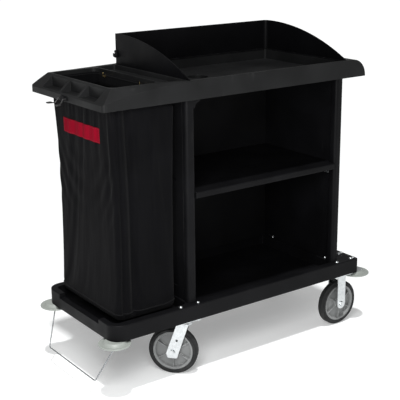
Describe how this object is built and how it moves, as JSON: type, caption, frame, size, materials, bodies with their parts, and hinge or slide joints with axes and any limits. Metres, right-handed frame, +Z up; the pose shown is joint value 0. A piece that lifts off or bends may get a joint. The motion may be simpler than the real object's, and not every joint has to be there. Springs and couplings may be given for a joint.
{
  "type": "housekeeping cart",
  "caption": "Compact housekeeping cart: shelved bay between panels, top tray with guard and push handle, hanging laundry bag, swivel and fixed casters, corner bumpers.",
  "frame": {"origin": "on the floor, below the middle of the whole cart's box", "axes": "+X along the cart from the bag to the push handle, +Y from the open front to the closed back, +Z up"},
  "size_m": [1.424, 0.608, 1.335],
  "materials": {
    "black_plastic": "satin black structural foam plastic",
    "tray_plastic": "fine moulded grain, satin black",
    "back_panel_plastic": "fine grain, satin dark",
    "bumper_grey": "moulded light grey, slightly scuffed",
    "hub_grey": "moulded light grey plastic",
    "tyre_grey": "non-marking dark grey rubber",
    "zinc_steel": "bright zinc plate",
    "bush_nylon": "plain natural nylon",
    "bail_wire": "bright zinc plate",
    "holder_wire": "black coated spring wire",
    "brass": "polished brass",
    "bag_cloth": "coated black nylon weave",
    "label_red": "plain dark red woven patch"
  },
  "bodies": {
    "root": {"base_platform": "black_plastic", "divider_panel": "black_plastic", "end_panel": "black_plastic", "back_panel": "back_panel_plastic", "back_cover_strips": "black_plastic", "back_screws": "zinc_steel", "middle_shelf": "black_plastic", "shelf_rail_left": "zinc_steel", "shelf_rail_right": "zinc_steel", "shelf_rail_screws": "zinc_steel", "top_tray": "tray_plastic", "tray_screws": "zinc_steel", "tray_guard": "black_plastic", "guard_screws": "black_plastic", "side_hook": "black_plastic", "tool_holder_bracket": "black_plastic", "tool_holder_arms": "holder_wire", "bag": "bag_cloth", "bag_label": "label_red", "bag_grommets": "brass", "bag_hooks": "brass", "bumper_bolts": "zinc_steel", "bumper_nuts": "zinc_steel", "bumper_brackets": "zinc_steel", "bracket_bolts": "zinc_steel", "bail_ears": "zinc_steel", "caster_bolts": "zinc_steel", "caster_nuts": "zinc_steel", "axle_bolt_front_right": "zinc_steel", "axle_bolt_rear_right": "zinc_steel", "swivel_plate_front_left": "zinc_steel", "ball_race_front_left": "zinc_steel", "kingpin_front_left": "zinc_steel", "swivel_plate_rear_left": "zinc_steel", "ball_race_rear_left": "zinc_steel", "kingpin_rear_left": "zinc_steel", "rigid_frame_front_right": "zinc_steel", "rigid_frame_rear_right": "zinc_steel"},
    "fork_front_left": {"swivel_fork_front_left": "zinc_steel", "axle_bolt_front_left": "zinc_steel"},
    "fork_rear_left": {"swivel_fork_rear_left": "zinc_steel", "axle_bolt_rear_left": "zinc_steel"},
    "wheel_front_left": {"wheel_bush_front_left": "bush_nylon", "wheel_hub_front_left": "hub_grey", "tyre_front_left": "tyre_grey"},
    "wheel_rear_left": {"wheel_bush_rear_left": "bush_nylon", "wheel_hub_rear_left": "hub_grey", "tyre_rear_left": "tyre_grey"},
    "wheel_front_right": {"wheel_bush_front_right": "bush_nylon", "wheel_hub_front_right": "hub_grey", "tyre_front_right": "tyre_grey"},
    "wheel_rear_right": {"wheel_bush_rear_right": "bush_nylon", "wheel_hub_rear_right": "hub_grey", "tyre_rear_right": "tyre_grey"},
    "bumper_front_left": {"bumper_front_left": "bumper_grey"},
    "bumper_rear_left": {"bumper_rear_left": "bumper_grey"},
    "bumper_front_right": {"bumper_front_right": "bumper_grey"},
    "bumper_rear_right": {"bumper_rear_right": "bumper_grey"},
    "bail": {"bail": "bail_wire"}
  },
  "joints": [
    {"name": "swivel_front_left", "type": "hinge", "parent": "root", "child": "fork_front_left", "pos_m": [-0.285, -0.22, 0.222], "axis": [0, 0, 1], "continuous": true},
    {"name": "swivel_rear_left", "type": "hinge", "parent": "root", "child": "fork_rear_left", "pos_m": [-0.285, 0.22, 0.222], "axis": [0, 0, 1], "continuous": true},
    {"name": "roll_front_left", "type": "hinge", "parent": "fork_front_left", "child": "wheel_front_left", "pos_m": [-0.31637, -0.18636, 0.1016], "axis": [-0.7314, -0.682, 0], "continuous": true},
    {"name": "roll_rear_left", "type": "hinge", "parent": "fork_rear_left", "child": "wheel_rear_left", "pos_m": [-0.331, 0.22, 0.1016], "axis": [0, -1, 0], "continuous": true},
    {"name": "roll_front_right", "type": "hinge", "parent": "root", "child": "wheel_front_right", "pos_m": [0.556, -0.22, 0.1016], "axis": [0, -1, 0], "continuous": true},
    {"name": "roll_rear_right", "type": "hinge", "parent": "root", "child": "wheel_rear_right", "pos_m": [0.556, 0.22, 0.1016], "axis": [0, -1, 0], "continuous": true},
    {"name": "bumper_spin_front_left", "type": "hinge", "parent": "root", "child": "bumper_front_left", "pos_m": [-0.622, -0.24, 0.237], "axis": [0, 0, 1], "continuous": true},
    {"name": "bumper_spin_rear_left", "type": "hinge", "parent": "root", "child": "bumper_rear_left", "pos_m": [-0.622, 0.24, 0.237], "axis": [0, 0, 1], "continuous": true},
    {"name": "bumper_spin_front_right", "type": "hinge", "parent": "root", "child": "bumper_front_right", "pos_m": [0.648, -0.236, 0.234], "axis": [0, 0, 1], "continuous": true},
    {"name": "bumper_spin_rear_right", "type": "hinge", "parent": "root", "child": "bumper_rear_right", "pos_m": [0.648, 0.236, 0.234], "axis": [0, 0, 1], "continuous": true},
    {"name": "bail_fold", "type": "hinge", "parent": "root", "child": "bail", "pos_m": [-0.622, 0, 0.222], "axis": [0, 1, 0], "range_deg": [-115, 66]}
  ]
}
